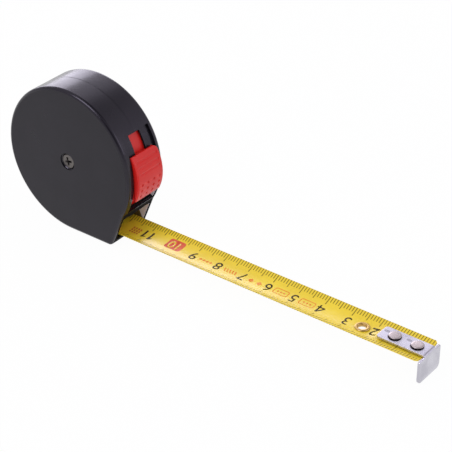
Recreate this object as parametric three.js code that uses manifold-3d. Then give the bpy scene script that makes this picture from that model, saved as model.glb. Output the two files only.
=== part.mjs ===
// Pocket tape measure, 3 m by 13 mm, standing on its flat base with the first stretch of blade drawn out
// and the thumb lock pushed down. Millimetres, +Z up, +X along the blade towards the end hook.
// The pieces are drawn about the reel's axis, which runs along Y through the middle of the round case,
// and the finished group is moved so that the origin lies in the middle of the case's flat base.
import * as THREE from 'three';
import { mergeVertices } from 'three/addons/utils/BufferGeometryUtils.js';
import Module from 'manifold-3d';

const wasm = await Module();
wasm.setup();

// Clearances
const slide_gap = 0.3; // between pieces that move past each other
const seat_gap = 0.1; // between pieces that are fixed together
const touch_gap = 0.02; // between the two ends of the same strip
const side_gap = 0.5; // beside the blade's edges and the reel
const coil_gap = 0.24; // drum to the inner end of the wound blade

// Driving sizes: the case's round rim and the strip of blade
const case_radius = 26.4;
const blade_width = 13;
const blade_thickness = 0.2;

// Case walls and outline
const rim_wall = 1.6;
const side_wall = 1.5;
const liner_thickness = 0.3;
const seam_y = 0.4; // the front shell is a little deeper than the rear one
const nose_reach = case_radius - 9; // reel axis to the sharp lower front corner
const front_angle = -31; // where the round rim turns into the straight front
const edge_radius = 1.3; // rounding between rim and side faces
const nose_radius = edge_radius + 0.15; // a little more, so that the edge rounding closes round the nose
const half = blade_width / 2 + side_gap + liner_thickness + side_wall; // half the case's thickness
const inner_half = half - side_wall;

// Mouth in the straight front
const sill_height = 1.95; // floor under the blade, above the case's base
const sill_length = 8.4;
const mouth_height = 9.35;
const bar_height = 2.5; // bar between the mouth and the lock's window
const mouth_half_width = blade_width / 2 + slide_gap;
const sill_top = sill_height - case_radius;
const sill_back = nose_reach - sill_length;
const mouth_top = sill_top + mouth_height;

// Blade
const blade_sag = 1.5; // depth of the hollow
const blade_draw = 0.54; // the hollow brings the two edges nearer by this much
const blade_chord = blade_width - blade_draw; // edge to edge
const blade_lift = 4.48; // the case's base to the blade's edges
const blade_edge_z = blade_lift - case_radius;
const lead_angle = -115.8; // where the blade leaves its coil
const level_x = nose_reach - 5.4; // from here on the blade runs level
const tip_length = 26; // rigid end of the blade that slides back into the case
const flatten_length = 4; // the hollow flattens over this length, up to the hook
const tip_corner = 1.2; // clipped corners at the blade's end

// End hook
const hook_face_x = 135.9; // outer face of the tab
const hook_thickness = 0.8;
const hook_float = hook_thickness; // the hook slides by its own thickness
const hook_sag = 0.9; // the hollow is pressed flatter under the hook
const hook_plate_length = 17.4;
const hook_plate_width = 6.3;
const hook_tab_width = blade_width - 1;
const hook_drop = 9; // plate's top to the tab's lower edge
const hook_corner_radius = 1.6;
const hook_shoulder_radius = 0.6;
const hook_plate_radius = 1.0;
const hook_bend_radius = hook_thickness + 0.1;
const hook_inner_x = hook_face_x - hook_thickness;
const hook_back_x = hook_face_x - hook_plate_length;
const plate_rise = hook_sag * (hook_plate_width / blade_chord) ** 2; // blade's hollow at the plate's edges
const hook_plate_bottom = blade_edge_z - hook_sag + plate_rise + slide_gap;
const hook_plate_top = hook_plate_bottom + hook_thickness;
const hook_tab_bottom = hook_plate_top - hook_drop;
const blade_end_x = hook_inner_x - 2 * seat_gap;
const tip_start_x = blade_end_x - tip_length;

// Rivets through the hook and the blade
const rivet_inset = [4.55, 12.45]; // from the hook's face
const rivet_radius = 1.0;
const rivet_head_radius = rivet_radius + 1.05;
const rivet_head_height = 0.5;
const rivet_tail_radius = rivet_radius + 0.6;
const rivet_tail_height = 0.5;

// Eyelet in the blade
const eyelet_inset = 24.2; // from the hook's face
const eyelet_hole_radius = 1.4;
const eyelet_wall = 0.3;
const eyelet_outer = eyelet_hole_radius + eyelet_wall;
const eyelet_flange_radius = eyelet_outer + 0.75;
const eyelet_flange_height = 0.3;
const eyelet_curl_radius = eyelet_outer + 0.3; // rolled over under the blade
const eyelet_curl_height = 0.15;
const eyelet_washer_height = 0.22;

// Reel and wound blade
const coil_radius = case_radius - 8;
const coil_turns = 5.7;
const coil_pitch = 0.8;
const drum_radius = coil_radius - blade_thickness - coil_turns * coil_pitch - coil_gap;
const drum_wall = 1.0;
const web_thickness = 1.0;
const web_y = blade_width / 2 - 0.5; // outer faces of the drum's web and the spring cover
const anchor_radius = 0.8;
const spring_thickness = 0.35;
const spring_turns = 8;

// Screw, and the post that it holds
const screw_radius = 1.25;
const screw_head_radius = 2.5;
const screw_head_height = 1.2;
const screw_recess_radius = screw_head_radius + 0.5;
const screw_recess_depth = 0.35;
const screw_end_y = inner_half - 2.75;
const cross_arm = 0.35; // half the width of the cross recess
const cross_reach = 1.5;
const cross_depth = 0.9;
const cross_turn = 30; // degrees
const post_radius = 3.0;
const post_bore = screw_radius + 0.25;
const post_slot = spring_thickness + 2 * slide_gap;
const post_foot_radius = post_radius + 0.9;
const register_height = 1.0;
const register_radius = post_foot_radius + slide_gap + 1.1;
const liner_radius = coil_radius + 1.6;
const lip_inset = 0.4; // case outline to the rear liner's lips in the mouth and the window
const lip_top = -10.7; // degrees, under the thumb pad

// Thumb lock, its angles counted up from the level of the reel's axis
const lock_travel = 14.5;
const track_cheek = 2.3; // rim beside the lock's track
const track_half_width = half - track_cheek;
const track_depth = 0.9;
const pad_top = 19;
const pad_bottom = -15.5;
const pad_middle = 0.5;
const pad_lift = [0.5, 1.9, 1.2]; // how far the pad stands out at its top, middle and bottom
const pad_edge = 0.35;
const slot_half_width = 2.7;
const window_top = 3;
const strip_half_width = slot_half_width + 0.5;
const strip_thickness = 1.0;
const strip_top = pad_top + 18;
const strip_bend = -43;
const strip_outer = case_radius - rim_wall - slide_gap;
const strip_inner = strip_outer - strip_thickness;
const rail_thickness = 1.0;
const rail_angles = [-5, 32];
const shoe_setback = 2.62; // behind the lower end of the strip
const shoe_length = 3;
const shoe_height = 1.7;
const shoe_half_width = blade_width / 2 - side_gap;

// Pegs that line up the two shells
const peg_angles = [75, 160, 235];
const peg_circle = case_radius - 4.2;
const peg_radius = 1.0;
const peg_wall = 0.6;
const peg_length = 2.5;

const rad = THREE.MathUtils.degToRad;
const deg = THREE.MathUtils.radToDeg;

// ---- Outlines and solids ----

function polar(radius, angle) {
  return new THREE.Vector2(radius * Math.cos(rad(angle)), radius * Math.sin(rad(angle)));
}

// Points of an arc about the reel's axis, both ends included.
function arc(radius, from, to, step = 5) {
  const count = Math.max(1, Math.round(Math.abs(to - from) / step));
  return Array.from({ length: count + 1 }, (_, i) => polar(radius, from + ((to - from) * i) / count));
}

// A block of a ring about the reel's axis, as a shape in X and Z.
function sector(inner, outer, from, to, step = 5) {
  return new THREE.Shape([...arc(outer, from, to, step), ...arc(inner, to, from, step)]);
}

// Extrudes a shape drawn in X and Z along Y, between two values of y.
function slab(shape, y0, y1, options = {}) {
  const geometry = new THREE.ExtrudeGeometry(shape, { depth: y1 - y0, bevelEnabled: false, ...options });
  return geometry.rotateX(Math.PI / 2).translate(0, y1, 0);
}

// A slab whose side edges are rounded, the rounding staying inside its outline and its two ends.
function rounded_slab(shape, y0, y1, radius, segments) {
  const geometry = new THREE.ExtrudeGeometry(shape, {
    depth: y1 - y0 - 2 * radius,
    bevelThickness: radius,
    bevelSize: radius,
    bevelOffset: -radius,
    bevelSegments: segments,
  });
  return geometry.rotateX(Math.PI / 2).translate(0, y1 - radius, 0);
}

function block(x0, x1, y0, y1, z0, z1) {
  const geometry = new THREE.BoxGeometry(x1 - x0, y1 - y0, z1 - z0);
  return geometry.translate((x0 + x1) / 2, (y0 + y1) / 2, (z0 + z1) / 2);
}

// A body turned about a line along Y, from [radius, y] corners that run round its section.
function turned(corners, x = 0, z = 0, segments = 48) {
  const closed = [...corners, corners[0]].map(([radius, y]) => new THREE.Vector2(radius, y));
  return new THREE.LatheGeometry(closed, segments).translate(x, 0, z);
}

// The same about an upright line, from [radius, z] corners.
function upright(corners, x, y = 0, segments = 32) {
  return turned(corners, 0, 0, segments).rotateX(Math.PI / 2).translate(x, y, 0);
}

function disc(radius, y0, y1, segments = 48) {
  return new THREE.CylinderGeometry(radius, radius, y1 - y0, segments).translate(0, (y0 + y1) / 2, 0);
}

function ring(inner, outer, y0, y1, segments = 48) {
  return turned([[inner, y0], [outer, y0], [outer, y1], [inner, y1]], 0, 0, segments);
}

// ---- Joins and cuts ----

function solid(geometry) {
  const plain = geometry.clone();
  plain.deleteAttribute('normal');
  plain.deleteAttribute('uv');
  const merged = mergeVertices(plain, 1e-5);
  const mesh = new wasm.Mesh({
    numProp: 3,
    vertProperties: new Float32Array(merged.attributes.position.array),
    triVerts: new Uint32Array(merged.index.array),
  });
  const body = new wasm.Manifold(mesh);
  if (body.volume() > 0) return body;
  for (let i = 0; i < mesh.triVerts.length; i += 3) {
    [mesh.triVerts[i], mesh.triVerts[i + 1]] = [mesh.triVerts[i + 1], mesh.triVerts[i]];
  }
  return new wasm.Manifold(mesh);
}

function cut(base, ...tools) {
  return tools.reduce((body, tool) => body.subtract(solid(tool)), base);
}

function join(base, ...pieces) {
  return pieces.reduce((body, piece) => body.add(solid(piece)), base);
}

function surface(body) {
  const mesh = body.getMesh();
  const geometry = new THREE.BufferGeometry();
  geometry.setAttribute('position', new THREE.BufferAttribute(new Float32Array(mesh.vertProperties), 3));
  geometry.setIndex(new THREE.BufferAttribute(new Uint32Array(mesh.triVerts), 1));
  geometry.computeVertexNormals();
  return geometry;
}

// ---- Case outline ----

// The straight front, moved inwards by inset: a point on it and its downward direction.
function front_line(inset) {
  const top = polar(case_radius, front_angle);
  const corner = new THREE.Vector2(nose_reach, -case_radius);
  const down = corner.clone().sub(top).normalize();
  const inward = new THREE.Vector2(down.y, -down.x);
  return { top: top.add(inward.multiplyScalar(inset)), down };
}

function front_x(z, inset = 0) {
  const { top, down } = front_line(inset);
  return top.x + (down.x * (z - top.y)) / down.y;
}

// The case's outline, moved inwards by inset: round rim, flat base, rounded nose and straight front.
function case_outline(inset) {
  const radius = case_radius - inset;
  const { top, down } = front_line(inset);
  const along = top.dot(down);
  const meet = along - Math.sqrt(along * along - top.lengthSq() + radius * radius);
  const shoulder = top.clone().addScaledVector(down, -meet);
  const start = deg(Math.atan2(shoulder.y, shoulder.x));
  const corner = new THREE.Vector2(front_x(-radius, inset), -radius);
  const round = Math.max(nose_radius - inset, 0.2);
  const turn = Math.acos(down.x); // angle inside the corner
  const reach = round / Math.tan(turn / 2);
  const centre = new THREE.Vector2(corner.x - reach, corner.y + round);
  const sweep = 180 - deg(turn);
  const nose = [0, 0.25, 0.5, 0.75, 1].map((t) => polar(round, -90 + sweep * t).add(centre));
  return new THREE.Shape([...arc(radius, start, 270), ...nose]);
}

// ---- Case shells ----

const window_bottom = deg(Math.asin((mouth_top + bar_height) / case_radius));

function case_body() {
  const body = solid(rounded_slab(case_outline(0), -half, half, edge_radius, 3));
  const hollow = cut(
    solid(slab(case_outline(rim_wall), -inner_half, inner_half)),
    block(sill_back, case_radius, -half, half, -case_radius, sill_top),
  );
  const outside = case_radius + 5;
  return cut(
    body.subtract(hollow),
    block(sill_back, outside, -mouth_half_width, inner_half, sill_top, mouth_top),
    slab(
      sector(case_radius - track_depth, outside, window_bottom, pad_top + lock_travel + 1),
      seam_y - track_half_width,
      seam_y + track_half_width,
    ),
    slab(
      sector(strip_inner, outside, window_bottom, window_top),
      seam_y - track_half_width,
      seam_y + track_half_width,
    ),
    slab(sector(strip_inner, outside, window_bottom, lip_top + 0.7), seam_y, inner_half),
    slab(
      sector(strip_inner, outside, window_top - 1, pad_top + lock_travel),
      seam_y - slot_half_width,
      seam_y + slot_half_width,
    ),
  );
}

// Rails inside each shell that hold the lock's strip against the rim.
function rail(y0, y1) {
  const outer = strip_inner - slide_gap;
  return slab(sector(outer - rail_thickness, outer, ...rail_angles), y0, y1);
}

// Turns a point of the peg circle into the place of a post along Y.
function on_pegs(make) {
  return peg_angles.map((angle) => {
    const place = polar(peg_circle, angle);
    return make(place.x, place.y);
  });
}

function front_shell() {
  const sleeve = peg_radius + slide_gap + peg_wall;
  let shell = case_body().intersect(
    solid(block(-100, 100, -100, seam_y - seat_gap / 2, -100, 100)),
  );
  shell = join(
    shell,
    ring(post_radius + slide_gap, register_radius, -inner_half - 0.2, -inner_half + register_height),
    rail(-inner_half - 0.2, seam_y - slot_half_width + 0.5),
    ...on_pegs((x, z) => disc(sleeve, -inner_half - 0.2, seam_y, 20).translate(x, 0, z)),
    ...on_pegs((x, z) => disc(peg_radius, 0, seam_y + peg_length, 20).translate(x, 0, z)),
  );
  const sink = -half + screw_recess_depth;
  const head_bottom = sink + screw_head_height + slide_gap;
  return cut(
    shell,
    disc(screw_recess_radius, -half - 1, sink + 0.25, 32),
    turned(
      [[0, sink], [screw_recess_radius, sink], [screw_radius + slide_gap, head_bottom], [0, head_bottom]],
      0, 0, 32,
    ),
    disc(screw_radius + slide_gap, -half, -inner_half + 1, 32),
  );
}

function rear_shell() {
  const sleeve = peg_radius + slide_gap + peg_wall;
  let shell = case_body().intersect(
    solid(block(-100, 100, seam_y + seat_gap / 2, 100, -100, 100)),
  );
  shell = join(
    shell,
    disc(register_radius, inner_half - register_height, inner_half + 0.2),
    rail(seam_y + slot_half_width - 0.5, inner_half + 0.2),
    ...on_pegs((x, z) => disc(sleeve, seam_y + seat_gap, inner_half + 0.2, 20).translate(x, 0, z)),
  );
  return cut(
    shell,
    disc(post_foot_radius + slide_gap, 0, inner_half, 6),
    ...on_pegs((x, z) => disc(peg_radius + slide_gap, -1, seam_y + peg_length + 0.5, 20).translate(x, 0, z)),
  );
}

// ---- Axle, screw, reel and spring ----

// Slotted post that the drum turns on; its six-sided foot keeps the spring from turning it.
function spring_post() {
  const front = -inner_half + slide_gap;
  return cut(
    join(
      solid(disc(post_radius, front, inner_half, 36)),
      disc(post_foot_radius, inner_half - register_height + slide_gap, inner_half, 6),
    ),
    disc(post_bore, front - 1, inner_half - 0.5, 24),
    block(-post_radius - 1, post_radius + 1, front - 1, web_y - web_thickness, -post_slot / 2, post_slot / 2),
  );
}

function case_screw() {
  const top = -half + screw_recess_depth;
  const neck = top + screw_head_height;
  const body = solid(turned(
    [[0, top], [screw_head_radius, top], [screw_head_radius, top + 0.2], [screw_radius, neck],
      [screw_radius, screw_end_y - 0.8], [screw_radius * 0.5, screw_end_y], [0, screw_end_y]],
    0, 0, 32,
  ));
  const cross = [0, 1].map((k) =>
    block(-cross_reach, cross_reach, top - 1, top + cross_depth, -cross_arm, cross_arm)
      .rotateY(rad(cross_turn + 90 * k)));
  return cut(body, ...cross);
}

function reel_drum() {
  const inner = drum_radius - drum_wall;
  const body = join(
    solid(ring(inner, drum_radius, -blade_width / 2, blade_width / 2)),
    ring(post_radius + slide_gap, inner + 0.3, web_y - web_thickness, web_y),
  );
  return cut(body, anchor_hole());
}

function anchor_hole() {
  const hole = new THREE.CylinderGeometry(anchor_radius + seat_gap, anchor_radius + seat_gap, 4, 16);
  return hole.rotateZ(Math.PI / 2).translate(drum_radius, 0, 0);
}

// Rivet that ties the inner end of the blade to the drum.
function anchor_rivet() {
  const length = drum_wall;
  const pin = new THREE.CylinderGeometry(anchor_radius, anchor_radius, length, 16);
  return solid(pin.rotateZ(Math.PI / 2).translate(drum_radius - length / 2, 0, 0));
}

function spring_cover() {
  return solid(ring(
    post_radius + slide_gap,
    drum_radius - drum_wall - seat_gap,
    -web_y,
    -web_y + web_thickness,
  ));
}

// A strip wound in a flat spiral about the reel's axis, from its centre line.
function wound(line, thickness, y0, y1) {
  const side = (sign) => line.map((point, i) => {
    const before = line[Math.max(i - 1, 0)];
    const after = line[Math.min(i + 1, line.length - 1)];
    const along = after.clone().sub(before).normalize();
    return new THREE.Vector2(-along.y, along.x).multiplyScalar((sign * thickness) / 2).add(point);
  });
  return slab(new THREE.Shape([...side(1), ...side(-1).reverse()]), y0, y1);
}

function spiral(outer_radius, pitch, turns, end_angle, steps_per_turn) {
  const count = Math.round(turns * steps_per_turn);
  return Array.from({ length: count + 1 }, (_, i) => {
    const turn = i / steps_per_turn;
    return polar(outer_radius - pitch * turn, end_angle - 360 * turn);
  });
}

// The spring's inner end is bent into the post's slot; its outer turn lies against the drum.
function mainspring() {
  const outer = drum_radius - drum_wall - slide_gap - spring_thickness / 2;
  const inner = post_radius + slide_gap + spring_thickness;
  const pitch = (outer - inner) / spring_turns;
  const line = spiral(outer, pitch, spring_turns, 0, 24);
  line.push(polar(post_bore + slide_gap, 0));
  const end = web_y - web_thickness - slide_gap;
  return solid(wound(line, spring_thickness, -end, end));
}

function blade_coil() {
  const line = spiral(coil_radius - blade_thickness / 2, coil_pitch, coil_turns, lead_angle, 36);
  return solid(wound(line, blade_thickness, -blade_width / 2, blade_width / 2));
}

// Slippery discs between the blade's edges and the side walls.
function front_liner() {
  return solid(ring(register_radius + slide_gap, liner_radius, -inner_half, liner_thickness - inner_half));
}

// The rear one also has a nose, with one lip that lines the far wall of the mouth and one in the window.
function rear_liner() {
  const free = inner_half - liner_thickness;
  const outside = case_radius + 5;
  const nose = solid(slab(case_outline(rim_wall + slide_gap), free, inner_half))
    .intersect(solid(slab(sector(liner_radius - 1, outside, -75, lip_top), free, inner_half)));
  const openings = join(
    solid(block(sill_back, outside, free, inner_half, sill_top, mouth_top - slide_gap)),
    slab(sector(strip_inner - 1, outside, window_bottom + 0.7, lip_top), free, inner_half),
  );
  const lips = solid(slab(case_outline(lip_inset), free, inner_half)).intersect(openings);
  return cut(
    solid(ring(register_radius + slide_gap, liner_radius, free, inner_half)).add(nose).add(lips),
    block(sill_back - slide_gap, outside, 0, inner_half + 1, -case_radius, sill_top + slide_gap),
  );
}

// ---- Blade ----

// The blade's cross-section, hollow upwards, with its edges at z = 0, drawn in Y and Z.
function blade_section(steps) {
  const hollow = (t) => -blade_sag * (1 - t * t);
  const across = Array.from({ length: steps + 1 }, (_, i) => (2 * i) / steps - 1);
  const top = across.map((t) => new THREE.Vector2((t * blade_chord) / 2, hollow(t)));
  const under = across.map((t) => new THREE.Vector2((t * blade_chord) / 2, hollow(t) - blade_thickness));
  return new THREE.Shape([...under, ...top.reverse()]);
}

// A level stretch of blade along X; its points can then be moved by shape_point(point).
function blade_strip(x0, x1, steps, shape_point) {
  const geometry = new THREE.ExtrudeGeometry(blade_section(8), {
    depth: x1 - x0,
    steps,
    bevelEnabled: false,
  });
  geometry.rotateX(Math.PI / 2).rotateZ(Math.PI / 2).translate(x0, 0, blade_edge_z);
  const place = geometry.attributes.position;
  const point = new THREE.Vector3();
  for (let i = 0; i < place.count; i += 1) {
    shape_point(point.fromBufferAttribute(place, i));
    place.setXYZ(i, point.x, point.y, point.z);
  }
  return geometry;
}

// Height of the middle of the blade, as it comes down from the coil and turns level.
function lead_height(x) {
  const start = polar(coil_radius, lead_angle);
  const level = blade_edge_z - blade_sag;
  if (x >= level_x) return level;
  const length = level_x - start.x;
  const slope = -1 / Math.tan(rad(lead_angle));
  const t = (x - start.x) / length;
  return start.y * (2 * t ** 3 - 3 * t ** 2 + 1)
    + length * slope * (t ** 3 - 2 * t ** 2 + t)
    + level * (3 * t ** 2 - 2 * t ** 3);
}

// From the coil to the rigid tip: flat where it leaves the coil, hollow by the time it is level.
function blade_stretch() {
  const start = polar(coil_radius, lead_angle);
  const level = blade_edge_z - blade_sag;
  return solid(blade_strip(start.x + touch_gap, tip_start_x - touch_gap, 36, (point) => {
    const t = Math.min(1, (point.x - start.x) / (level_x - start.x));
    const rise = blade_sag * ((2 * point.y) / blade_chord) ** 2;
    point.z += lead_height(point.x) - level - rise * (1 - t);
    point.y *= 1 + (1 - t) * (blade_width / blade_chord - 1);
  }));
}

function blade_tip() {
  const ease = (x) => THREE.MathUtils.smoothstep(x, hook_back_x - flatten_length, hook_back_x);
  const strip = blade_strip(tip_start_x, blade_end_x, 9, (point) => {
    const t = (2 * point.y) / blade_chord;
    point.z += (blade_sag - hook_sag) * (1 - t * t) * ease(point.x);
  });
  const out = tip_corner * 0.4;
  const clip = [-1, 1].map((side) =>
    new THREE.BoxGeometry(2 * tip_corner, 2 * tip_corner, 10)
      .rotateZ(Math.PI / 4)
      .translate(blade_end_x + out, side * (blade_chord / 2 + out), blade_edge_z));
  const holes = rivet_inset.map((inset) => bore(rivet_radius + slide_gap / 2, hook_face_x - inset));
  return cut(
    solid(strip),
    ...clip,
    ...holes,
    bore(eyelet_outer + seat_gap, hook_face_x - eyelet_inset),
  );
}

function bore(radius, x) {
  return upright([[0, -10], [radius, -10], [radius, 10], [0, 10]], x, 0, 24).translate(0, 0, blade_edge_z);
}

// ---- End hook, rivets and eyelet ----

// Pressed sheet: a plate on the blade, bent down into a wide tab.
function end_hook() {
  const top = hook_plate_top;
  const outer = hook_bend_radius;
  const bend = [0, 1, 2, 3].map((i) => {
    const angle = rad(90 - 30 * i);
    return new THREE.Vector2(
      hook_face_x - outer + outer * Math.cos(angle),
      top - outer + outer * Math.sin(angle),
    );
  });
  const profile = new THREE.Shape([
    new THREE.Vector2(hook_back_x, top),
    ...bend,
    new THREE.Vector2(hook_face_x, hook_tab_bottom),
    new THREE.Vector2(hook_inner_x, hook_tab_bottom),
    new THREE.Vector2(hook_inner_x, hook_plate_bottom),
    new THREE.Vector2(hook_back_x, hook_plate_bottom),
  ]);
  const sheet = solid(slab(profile, -hook_tab_width / 2, hook_tab_width / 2));
  const front_view = solid(tab_outline_block());
  const plate_view = solid(plate_outline_block());
  const slots = rivet_inset.map((inset) => rivet_slot(hook_face_x - inset));
  return cut(sheet.intersect(front_view).intersect(plate_view), ...slots);
}

// The hook seen along X: a narrow neck above a wide tab with rounded corners.
function tab_outline_block() {
  const neck = hook_plate_width / 2;
  const side = hook_tab_width / 2;
  const shoulder = hook_shoulder_radius;
  const round = hook_corner_radius;
  const shape = new THREE.Shape();
  shape.moveTo(-neck, hook_plate_top + 1);
  shape.lineTo(-neck, hook_plate_bottom);
  shape.lineTo(-side + shoulder, hook_plate_bottom);
  shape.absarc(-side + shoulder, hook_plate_bottom - shoulder, shoulder, Math.PI / 2, Math.PI, false);
  shape.absarc(-side + round, hook_tab_bottom + round, round, Math.PI, 1.5 * Math.PI, false);
  shape.absarc(side - round, hook_tab_bottom + round, round, 1.5 * Math.PI, 2 * Math.PI, false);
  shape.absarc(side - shoulder, hook_plate_bottom - shoulder, shoulder, 0, Math.PI / 2, false);
  shape.lineTo(neck, hook_plate_bottom);
  shape.lineTo(neck, hook_plate_top + 1);
  const geometry = new THREE.ExtrudeGeometry(shape, {
    depth: hook_plate_length + 2,
    bevelEnabled: false,
    curveSegments: 3,
  });
  return geometry.rotateX(Math.PI / 2).rotateZ(Math.PI / 2).translate(hook_back_x - 1, 0, 0);
}

// The plate seen from above, with its two inner corners rounded.
function plate_outline_block() {
  const side = hook_tab_width / 2 + 1;
  const neck = hook_plate_width / 2;
  const round = hook_plate_radius;
  const back = hook_back_x;
  const shape = new THREE.Shape();
  shape.moveTo(hook_face_x + 1, -side);
  shape.lineTo(hook_face_x + 1, side);
  shape.lineTo(back + round + 1, side);
  shape.lineTo(back + round + 1, neck);
  shape.absarc(back + round, neck - round, round, Math.PI / 2, Math.PI, false);
  shape.absarc(back + round, -neck + round, round, Math.PI, 1.5 * Math.PI, false);
  shape.lineTo(back + round + 1, -neck);
  shape.lineTo(back + round + 1, -side);
  const geometry = new THREE.ExtrudeGeometry(shape, { depth: 20, bevelEnabled: false, curveSegments: 3 });
  return geometry.translate(0, 0, hook_tab_bottom - 1);
}

// The slots are longer than the rivets by the hook's float.
function rivet_slot(x) {
  const radius = rivet_radius + slide_gap;
  const shape = new THREE.Shape();
  shape.absarc(x, 0, radius, -Math.PI / 2, Math.PI / 2, false);
  shape.absarc(x - hook_float, 0, radius, Math.PI / 2, 1.5 * Math.PI, false);
  const geometry = new THREE.ExtrudeGeometry(shape, { depth: 4, bevelEnabled: false, curveSegments: 6 });
  return geometry.translate(0, 0, hook_plate_top - 2);
}

// Flat-headed rivet: head on the hook's plate, tail spread under the blade.
function hook_rivet(inset) {
  const under_head = hook_plate_top + seat_gap;
  const blade_under = blade_edge_z - hook_sag - blade_thickness - seat_gap;
  const tail_bottom = blade_under - rivet_tail_height;
  return solid(upright(
    [[0, tail_bottom], [rivet_tail_radius * 0.8, tail_bottom], [rivet_tail_radius, tail_bottom + 0.15],
      [rivet_tail_radius, blade_under], [rivet_radius, blade_under], [rivet_radius, under_head],
      [rivet_head_radius, under_head], [rivet_head_radius, under_head + rivet_head_height * 0.6],
      [rivet_head_radius - 0.3, under_head + rivet_head_height], [0, under_head + rivet_head_height]],
    hook_face_x - inset, 0, 28,
  ));
}

const blade_middle = blade_edge_z - blade_sag;
const edge_rise = blade_sag * (eyelet_flange_radius / (blade_chord / 2)) ** 2;
const flange_bottom = blade_middle + edge_rise + 0.05;
const washer_top = blade_middle - blade_thickness - 0.05;
const curl_top = washer_top - eyelet_washer_height - touch_gap;

function eyelet() {
  const curl_bottom = curl_top - eyelet_curl_height;
  const flange_top = flange_bottom + eyelet_flange_height;
  return solid(upright(
    [[eyelet_hole_radius, curl_bottom], [eyelet_curl_radius, curl_bottom], [eyelet_curl_radius, curl_top],
      [eyelet_outer, curl_top], [eyelet_outer, flange_bottom], [eyelet_flange_radius, flange_bottom],
      [eyelet_flange_radius, flange_bottom + eyelet_flange_height * 0.5],
      [(eyelet_flange_radius + eyelet_hole_radius) / 2, flange_top],
      [eyelet_hole_radius, flange_top - 0.1]],
    hook_face_x - eyelet_inset, 0, 28,
  ));
}

function eyelet_washer() {
  const bottom = washer_top - eyelet_washer_height;
  return solid(upright(
    [[eyelet_outer + seat_gap, bottom], [eyelet_flange_radius, bottom],
      [eyelet_flange_radius, washer_top], [eyelet_outer + seat_gap, washer_top]],
    hook_face_x - eyelet_inset, 0, 28,
  ));
}

// ---- Thumb lock ----

// The pad's outer face is one circular arc through three points: its top, middle and bottom.
function pad_face() {
  const [a, b, c] = [pad_top, pad_middle, pad_bottom].map((angle, i) =>
    polar(case_radius + pad_lift[i], angle));
  const d = 2 * (a.x * (b.y - c.y) + b.x * (c.y - a.y) + c.x * (a.y - b.y));
  const [sa, sb, sc] = [a, b, c].map((p) => p.lengthSq());
  const centre = new THREE.Vector2(
    (sa * (b.y - c.y) + sb * (c.y - a.y) + sc * (a.y - b.y)) / d,
    (sa * (c.x - b.x) + sb * (a.x - c.x) + sc * (b.x - a.x)) / d,
  );
  const radius = centre.distanceTo(a);
  const from = Math.atan2(c.y - centre.y, c.x - centre.x);
  const to = Math.atan2(a.y - centre.y, a.x - centre.x);
  return Array.from({ length: 11 }, (_, i) => {
    const angle = from + ((to - from) * i) / 10;
    return new THREE.Vector2(radius * Math.cos(angle), radius * Math.sin(angle)).add(centre);
  });
}

// One moulding: thumb pad, neck through the slot, strip inside the rim and tongue down to the brake.
function lock_button() {
  const seat = case_radius - track_depth + slide_gap;
  const pad_half = track_half_width - slide_gap;
  const pad = new THREE.Shape([...pad_face(), ...arc(seat, pad_top, pad_bottom, 3)]);
  const neck = sector(strip_outer - 0.5, seat + 0.4, pad_bottom + 3, pad_top - 0.6, 3);
  const tongue = new THREE.Shape([
    polar(strip_outer, strip_bend),
    ...arc(strip_outer, strip_bend, strip_top, 4),
    ...arc(strip_inner, strip_top, strip_bend + 3, 4),
    new THREE.Vector2(shoe_back, shoe_top),
    new THREE.Vector2(shoe_front, shoe_top),
  ]);
  const neck_half = slot_half_width - slide_gap;
  return join(
    solid(rounded_slab(pad, seam_y - pad_half, seam_y + pad_half, pad_edge, 2)),
    slab(neck, seam_y - neck_half, seam_y + neck_half),
    slab(tongue, seam_y - strip_half_width, seam_y + strip_half_width),
  );
}

const shoe_bottom = blade_edge_z + slide_gap;
const shoe_top = shoe_bottom + shoe_height;
const shoe_front = polar(strip_outer, strip_bend).x - shoe_setback;
const shoe_back = shoe_front - shoe_length;

// Rubber shoe that the tongue presses on the blade's two edges; its middle clears the hook's rivets.
function brake_shoe() {
  const relief_half = hook_plate_width / 2 + slide_gap;
  const relief_top = hook_plate_top + seat_gap + rivet_head_height + slide_gap;
  return cut(
    solid(block(shoe_back, shoe_front, -shoe_half_width, shoe_half_width, shoe_bottom, shoe_top)),
    block(shoe_back - 1, shoe_front + 1, -relief_half, relief_half, shoe_bottom - 1, relief_top),
  );
}

// ---- Materials and assembly ----

function plastic(colour, roughness = 0.5) {
  return new THREE.MeshStandardMaterial({ color: colour, roughness, metalness: 0 });
}

function metal(colour, roughness = 0.3) {
  return new THREE.MeshStandardMaterial({ color: colour, roughness, metalness: 1 });
}

const black_plastic = plastic('#3a393e', 0.45);
const red_plastic = plastic('#d8342f', 0.4);
const grey_plastic = plastic('#8d9094');
const black_rubber = plastic('#1c1c1e', 0.8);
const pale_liner = plastic('#c9c7cf', 0.6);
const yellow_paint = plastic('#e8cc3f', 0.35);
const spring_steel = metal('#6f7680', 0.35);
const zinc_steel = metal('#d2d1dc', 0.25);
const rivet_steel = metal('#d8cfcf', 0.35);
const brass = metal('#c9a54a', 0.3);
const dark_steel = metal('#8f8a86', 0.4);

const tape = new THREE.Group();

function place(name, body, material) {
  const mesh = new THREE.Mesh(surface(body), material);
  mesh.name = name;
  tape.add(mesh);
}

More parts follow.
